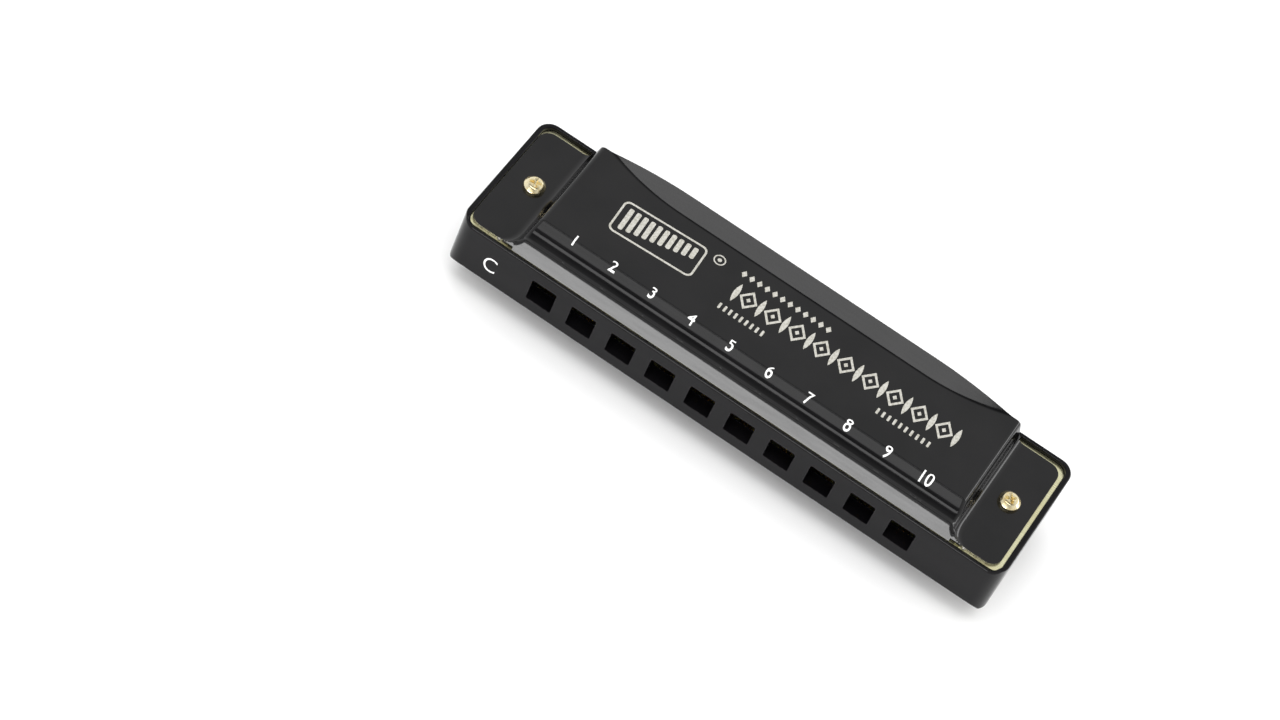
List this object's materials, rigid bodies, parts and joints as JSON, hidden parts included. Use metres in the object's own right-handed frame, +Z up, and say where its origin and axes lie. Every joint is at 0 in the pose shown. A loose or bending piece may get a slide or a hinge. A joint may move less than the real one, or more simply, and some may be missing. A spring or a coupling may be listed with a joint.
{
  "type": "diatonic harmonica",
  "caption": "Small mouth organ: a moulded comb with a row of square holes, brass reed plates, sprung reeds and pressed metal covers with arched open backs.",
  "frame": {"origin": "centre of the foot of the overall box, on the surface that the lower cover's arched rear edge touches", "axes": "+X along the row of holes from hole 1 to hole 10, mouthpiece face towards -Y, +Z up out of the upper cover"},
  "size_m": [0.1016, 0.0264, 0.0211],
  "materials": {
    "comb_plastic": "polished black moulded plastic",
    "cover_lacquer": "gloss black lacquer on pressed steel",
    "plate_brass": "lightly brushed brass sheet",
    "reed_brass": "filed spring brass",
    "rivet_brass": "turned brass",
    "gold_screw": "gold-coloured plated screw",
    "plate_screw": "zinc-plated small screw"
  },
  "bodies": {
    "body": {"comb": "comb_plastic", "blow_reed_plate": "plate_brass", "draw_reed_plate": "plate_brass", "blow_reed_pads": "reed_brass", "draw_reed_pads": "reed_brass", "blow_reed_rivets": "rivet_brass", "draw_reed_rivets": "rivet_brass", "upper_cover": "cover_lacquer", "lower_cover": "cover_lacquer", "cover_screws": "gold_screw", "cover_nuts": "gold_screw", "blow_plate_screws": "plate_screw", "draw_plate_screws": "plate_screw"},
    "blow_reed_01": {"blow_reed_01": "reed_brass"},
    "blow_reed_02": {"blow_reed_02": "reed_brass"},
    "blow_reed_03": {"blow_reed_03": "reed_brass"},
    "blow_reed_04": {"blow_reed_04": "reed_brass"},
    "blow_reed_05": {"blow_reed_05": "reed_brass"},
    "blow_reed_06": {"blow_reed_06": "reed_brass"},
    "blow_reed_07": {"blow_reed_07": "reed_brass"},
    "blow_reed_08": {"blow_reed_08": "reed_brass"},
    "blow_reed_09": {"blow_reed_09": "reed_brass"},
    "blow_reed_10": {"blow_reed_10": "reed_brass"},
    "draw_reed_01": {"draw_reed_01": "reed_brass"},
    "draw_reed_02": {"draw_reed_02": "reed_brass"},
    "draw_reed_03": {"draw_reed_03": "reed_brass"},
    "draw_reed_04": {"draw_reed_04": "reed_brass"},
    "draw_reed_05": {"draw_reed_05": "reed_brass"},
    "draw_reed_06": {"draw_reed_06": "reed_brass"},
    "draw_reed_07": {"draw_reed_07": "reed_brass"},
    "draw_reed_08": {"draw_reed_08": "reed_brass"},
    "draw_reed_09": {"draw_reed_09": "reed_brass"},
    "draw_reed_10": {"draw_reed_10": "reed_brass"}
  },
  "joints": [
    {"name": "blow_reed_01_bend", "type": "hinge", "parent": "body", "child": "blow_reed_01", "pos_m": [-0.03375, -0.00735, 0.0146], "axis": [1, 0, 0], "range_deg": [-5, 5], "stiffness_Nm_per_rad": 0.00159},
    {"name": "draw_reed_01_bend", "type": "hinge", "parent": "body", "child": "draw_reed_01", "pos_m": [-0.03375, 0.00665, 0.0056], "axis": [-1, 0, 0], "range_deg": [-5, 5], "stiffness_Nm_per_rad": 0.00159},
    {"name": "blow_reed_02_bend", "type": "hinge", "parent": "body", "child": "blow_reed_02", "pos_m": [-0.02625, -0.00735, 0.0146], "axis": [1, 0, 0], "range_deg": [-5, 5], "stiffness_Nm_per_rad": 0.00134},
    {"name": "draw_reed_02_bend", "type": "hinge", "parent": "body", "child": "draw_reed_02", "pos_m": [-0.02625, 0.00591, 0.0056], "axis": [-1, 0, 0], "range_deg": [-5, 5], "stiffness_Nm_per_rad": 0.00134},
    {"name": "blow_reed_03_bend", "type": "hinge", "parent": "body", "child": "blow_reed_03", "pos_m": [-0.01875, -0.00735, 0.0146], "axis": [1, 0, 0], "range_deg": [-5, 5], "stiffness_Nm_per_rad": 0.00113},
    {"name": "draw_reed_03_bend", "type": "hinge", "parent": "body", "child": "draw_reed_03", "pos_m": [-0.01875, 0.00516, 0.0056], "axis": [-1, 0, 0], "range_deg": [-5, 5], "stiffness_Nm_per_rad": 0.00113},
    {"name": "blow_reed_04_bend", "type": "hinge", "parent": "body", "child": "blow_reed_04", "pos_m": [-0.01125, -0.00735, 0.0146], "axis": [1, 0, 0], "range_deg": [-5, 5], "stiffness_Nm_per_rad": 0.000941},
    {"name": "draw_reed_04_bend", "type": "hinge", "parent": "body", "child": "draw_reed_04", "pos_m": [-0.01125, 0.00442, 0.0056], "axis": [-1, 0, 0], "range_deg": [-5, 5], "stiffness_Nm_per_rad": 0.000941},
    {"name": "blow_reed_05_bend", "type": "hinge", "parent": "body", "child": "blow_reed_05", "pos_m": [-0.00375, -0.00735, 0.0146], "axis": [1, 0, 0], "range_deg": [-5, 5], "stiffness_Nm_per_rad": 0.000612},
    {"name": "draw_reed_05_bend", "type": "hinge", "parent": "body", "child": "draw_reed_05", "pos_m": [-0.00375, 0.00367, 0.0056], "axis": [-1, 0, 0], "range_deg": [-5, 5], "stiffness_Nm_per_rad": 0.000612},
    {"name": "blow_reed_06_bend", "type": "hinge", "parent": "body", "child": "blow_reed_06", "pos_m": [0.00375, -0.00735, 0.0146], "axis": [1, 0, 0], "range_deg": [-5, 5], "stiffness_Nm_per_rad": 0.000499},
    {"name": "draw_reed_06_bend", "type": "hinge", "parent": "body", "child": "draw_reed_06", "pos_m": [0.00375, 0.00293, 0.0056], "axis": [-1, 0, 0], "range_deg": [-5, 5], "stiffness_Nm_per_rad": 0.000499},
    {"name": "blow_reed_07_bend", "type": "hinge", "parent": "body", "child": "blow_reed_07", "pos_m": [0.01125, -0.00735, 0.0146], "axis": [1, 0, 0], "range_deg": [-5, 5], "stiffness_Nm_per_rad": 0.000402},
    {"name": "draw_reed_07_bend", "type": "hinge", "parent": "body", "child": "draw_reed_07", "pos_m": [0.01125, 0.00218, 0.0056], "axis": [-1, 0, 0], "range_deg": [-5, 5], "stiffness_Nm_per_rad": 0.000402},
    {"name": "blow_reed_08_bend", "type": "hinge", "parent": "body", "child": "blow_reed_08", "pos_m": [0.01875, -0.00735, 0.0146], "axis": [1, 0, 0], "range_deg": [-5, 5], "stiffness_Nm_per_rad": 0.00032},
    {"name": "draw_reed_08_bend", "type": "hinge", "parent": "body", "child": "draw_reed_08", "pos_m": [0.01875, 0.00144, 0.0056], "axis": [-1, 0, 0], "range_deg": [-5, 5], "stiffness_Nm_per_rad": 0.00032},
    {"name": "blow_reed_09_bend", "type": "hinge", "parent": "body", "child": "blow_reed_09", "pos_m": [0.02625, -0.00735, 0.0146], "axis": [1, 0, 0], "range_deg": [-5, 5], "stiffness_Nm_per_rad": 0.00025},
    {"name": "draw_reed_09_bend", "type": "hinge", "parent": "body", "child": "draw_reed_09", "pos_m": [0.02625, 0.00069, 0.0056], "axis": [-1, 0, 0], "range_deg": [-5, 5], "stiffness_Nm_per_rad": 0.00025},
    {"name": "blow_reed_10_bend", "type": "hinge", "parent": "body", "child": "blow_reed_10", "pos_m": [0.03375, -0.00735, 0.0146], "axis": [1, 0, 0], "range_deg": [-5, 5], "stiffness_Nm_per_rad": 0.000192},
    {"name": "draw_reed_10_bend", "type": "hinge", "parent": "body", "child": "draw_reed_10", "pos_m": [0.03375, -0.00005, 0.0056], "axis": [-1, 0, 0], "range_deg": [-5, 5], "stiffness_Nm_per_rad": 0.000192}
  ]
}
